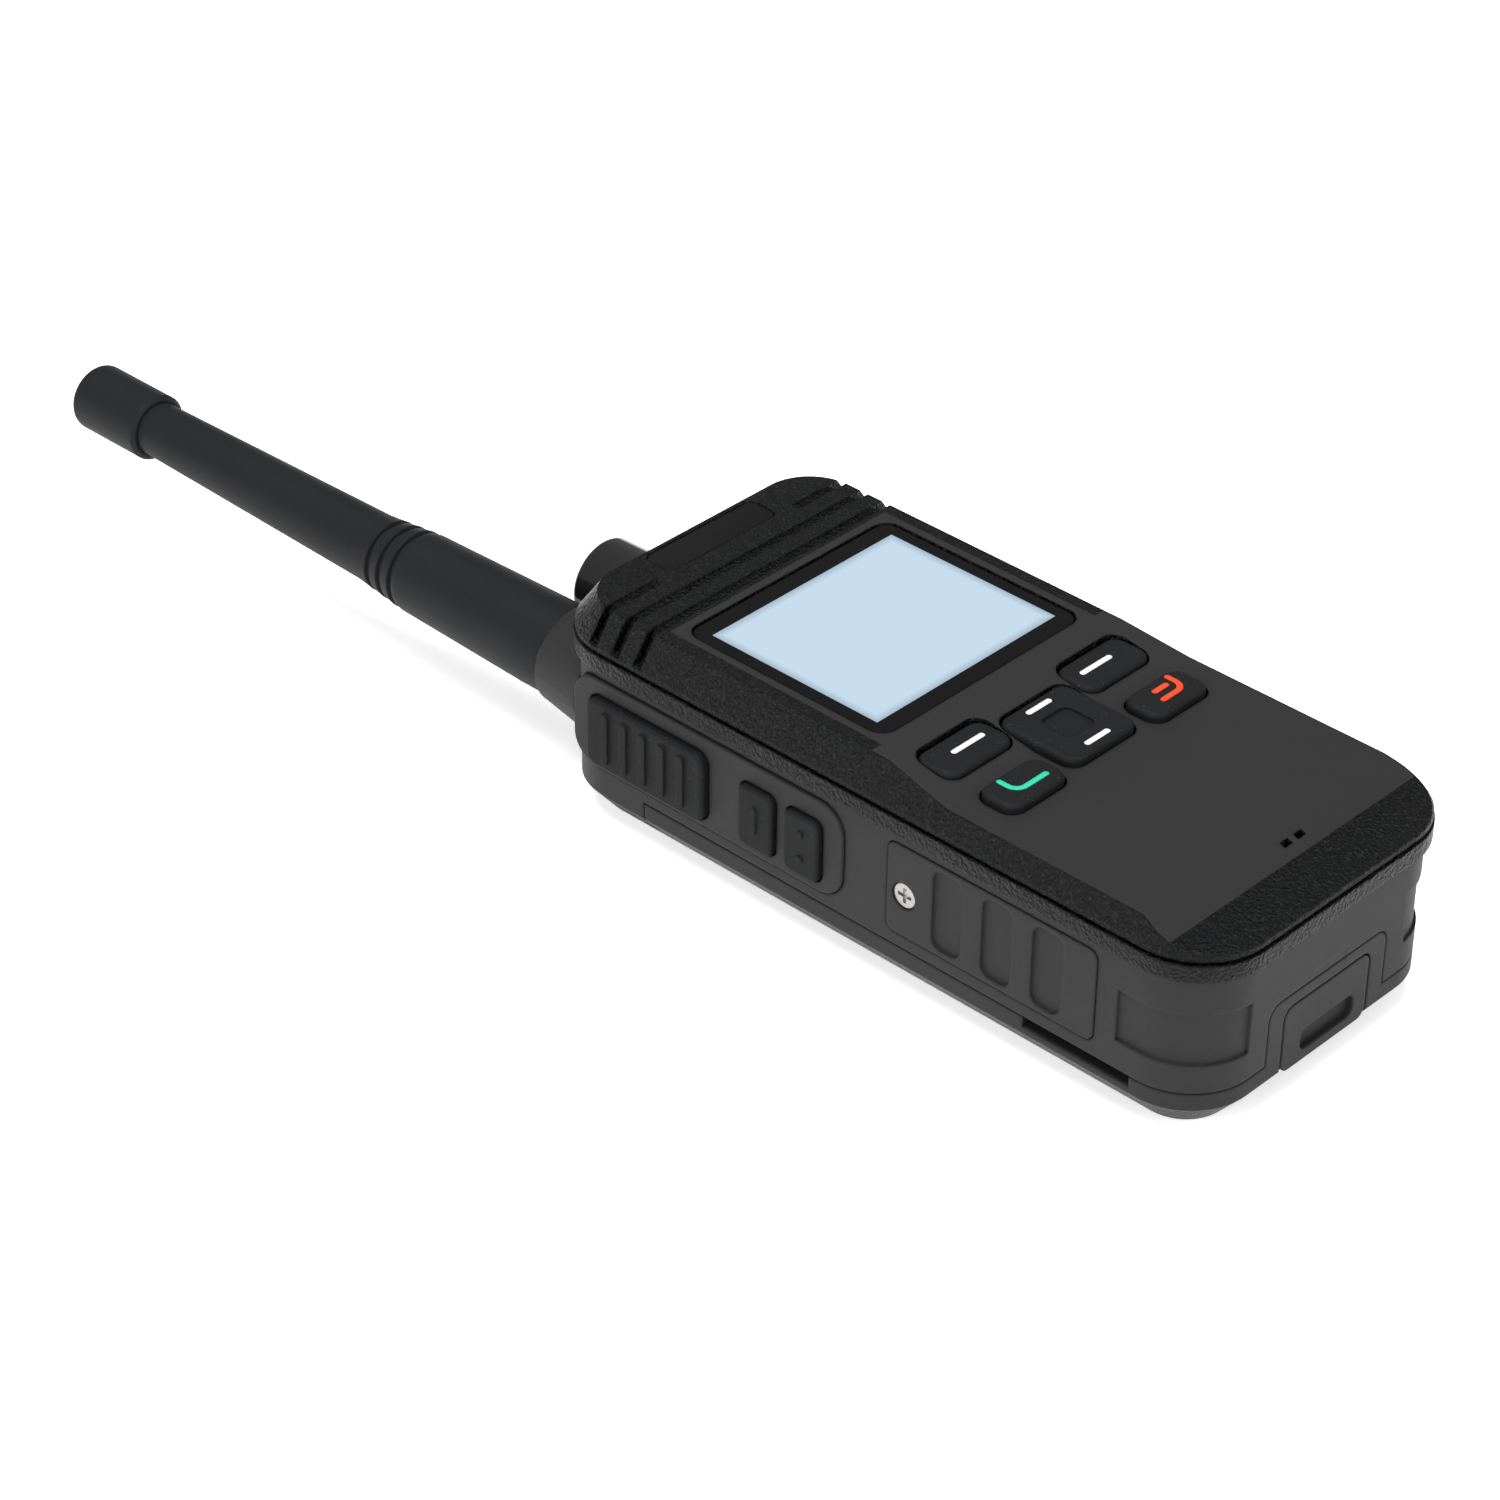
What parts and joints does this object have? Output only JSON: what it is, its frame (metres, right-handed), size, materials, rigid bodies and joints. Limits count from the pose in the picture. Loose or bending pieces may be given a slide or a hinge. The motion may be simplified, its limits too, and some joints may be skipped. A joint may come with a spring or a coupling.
{
  "type": "two-way radio",
  "caption": "Black handheld digital two-way radio with colour display, front keys, side talk button, top knobs, stubby whip antenna and clip-on battery.",
  "frame": {"origin": "centre of the flat battery back", "axes": "+Z leaves the front face, +Y points along the antenna, +X is to the right seen from the front"},
  "size_m": [0.0522, 0.2177, 0.032],
  "materials": {
    "shell_plastic": "fine satin moulded plastic with spark-eroded bevels",
    "lens_gloss": "glossy black border",
    "display": "pale blue lit display",
    "key_rubber": "matt silicone rubber",
    "antenna_rubber": "matt moulded rubber",
    "gloss_plastic": "polished black plastic",
    "knob_plastic": "matt plastic",
    "steel": "nickel-plated steel",
    "brass": "gold-plated brass",
    "board": "green circuit board",
    "speaker_black": "black cone and basket",
    "cell_wrap": "blue cell wrap"
  },
  "bodies": {
    "radio_body": {"accessory_cover": "shell_plastic", "accessory_screw": "steel", "antenna_connector": "brass", "badge_plate": "lens_gloss", "channel_encoder": "steel", "chassis_screws": "steel", "display_module": "display", "front_shell": "shell_plastic", "housing_seal": "key_rubber", "keypad_board": "board", "keypad_mat": "key_rubber", "main_board": "board", "microphone": "steel", "ptt_bezel": "shell_plastic", "rear_housing": "shell_plastic", "screen_lens": "lens_gloss", "side_switch_board": "board", "speaker": "speaker_black", "volume_control": "steel"},
    "soft_key_left": {"soft_key_left": "key_rubber"},
    "soft_key_right": {"soft_key_right": "key_rubber"},
    "nav_key": {"nav_key": "key_rubber"},
    "call_key": {"call_key": "key_rubber"},
    "end_key": {"end_key": "key_rubber"},
    "talk_button": {"ptt_button": "key_rubber"},
    "side_key_upper": {"side_key_upper": "key_rubber"},
    "side_key_lower": {"side_key_lower": "key_rubber"},
    "volume_control_knob": {"volume_knob": "gloss_plastic", "volume_shaft": "steel"},
    "channel_control_knob": {"channel_knob": "knob_plastic", "channel_shaft": "steel"},
    "battery_pack": {"battery_case": "shell_plastic", "battery_cells": "cell_wrap", "battery_contacts": "brass", "latch_spring": "steel"},
    "battery_latch": {"battery_latch": "shell_plastic"},
    "antenna": {"antenna_sleeve": "antenna_rubber", "antenna_cap": "antenna_rubber"}
  },
  "joints": [
    {"name": "soft_key_left_press", "type": "slide", "parent": "radio_body", "child": "soft_key_left", "axis": [0, 0, -1], "range_m": [0, 0.0007], "stiffness_N_per_m": 350},
    {"name": "soft_key_right_press", "type": "slide", "parent": "radio_body", "child": "soft_key_right", "axis": [0, 0, -1], "range_m": [0, 0.0007], "stiffness_N_per_m": 350},
    {"name": "nav_key_press", "type": "slide", "parent": "radio_body", "child": "nav_key", "axis": [0, 0, -1], "range_m": [0, 0.0007], "stiffness_N_per_m": 350},
    {"name": "call_key_press", "type": "slide", "parent": "radio_body", "child": "call_key", "axis": [0, 0, -1], "range_m": [0, 0.0007], "stiffness_N_per_m": 350},
    {"name": "end_key_press", "type": "slide", "parent": "radio_body", "child": "end_key", "axis": [0, 0, -1], "range_m": [0, 0.0007], "stiffness_N_per_m": 350},
    {"name": "talk_button_press", "type": "slide", "parent": "radio_body", "child": "talk_button", "axis": [1, 0, 0], "range_m": [0, 0.0008], "stiffness_N_per_m": 600},
    {"name": "side_key_upper_press", "type": "slide", "parent": "radio_body", "child": "side_key_upper", "axis": [1, 0, 0], "range_m": [0, 0.0007], "stiffness_N_per_m": 350},
    {"name": "side_key_lower_press", "type": "slide", "parent": "radio_body", "child": "side_key_lower", "axis": [1, 0, 0], "range_m": [0, 0.0007], "stiffness_N_per_m": 350},
    {"name": "volume_turn", "type": "hinge", "parent": "radio_body", "child": "volume_control_knob", "pos_m": [0.0015, 0.0552, 0.015], "axis": [0, 1, 0], "range_deg": [0, 280]},
    {"name": "channel_turn", "type": "hinge", "parent": "radio_body", "child": "channel_control_knob", "pos_m": [0.016, 0.0552, 0.0156], "axis": [0, 1, 0], "continuous": true},
    {"name": "battery_latch_slide", "type": "slide", "parent": "battery_pack", "child": "battery_latch", "axis": [0, 0, -1], "range_m": [0, 0.002], "stiffness_N_per_m": 400},
    {"name": "battery_pack_removal", "type": "slide", "parent": "radio_body", "child": "battery_pack", "axis": [0, 0, -1], "range_m": [0, 0.03]},
    {"name": "antenna_unscrew", "type": "hinge", "parent": "radio_body", "child": "antenna", "pos_m": [-0.014, 0.0552, 0.014], "axis": [0, 1, 0], "continuous": true}
  ]
}
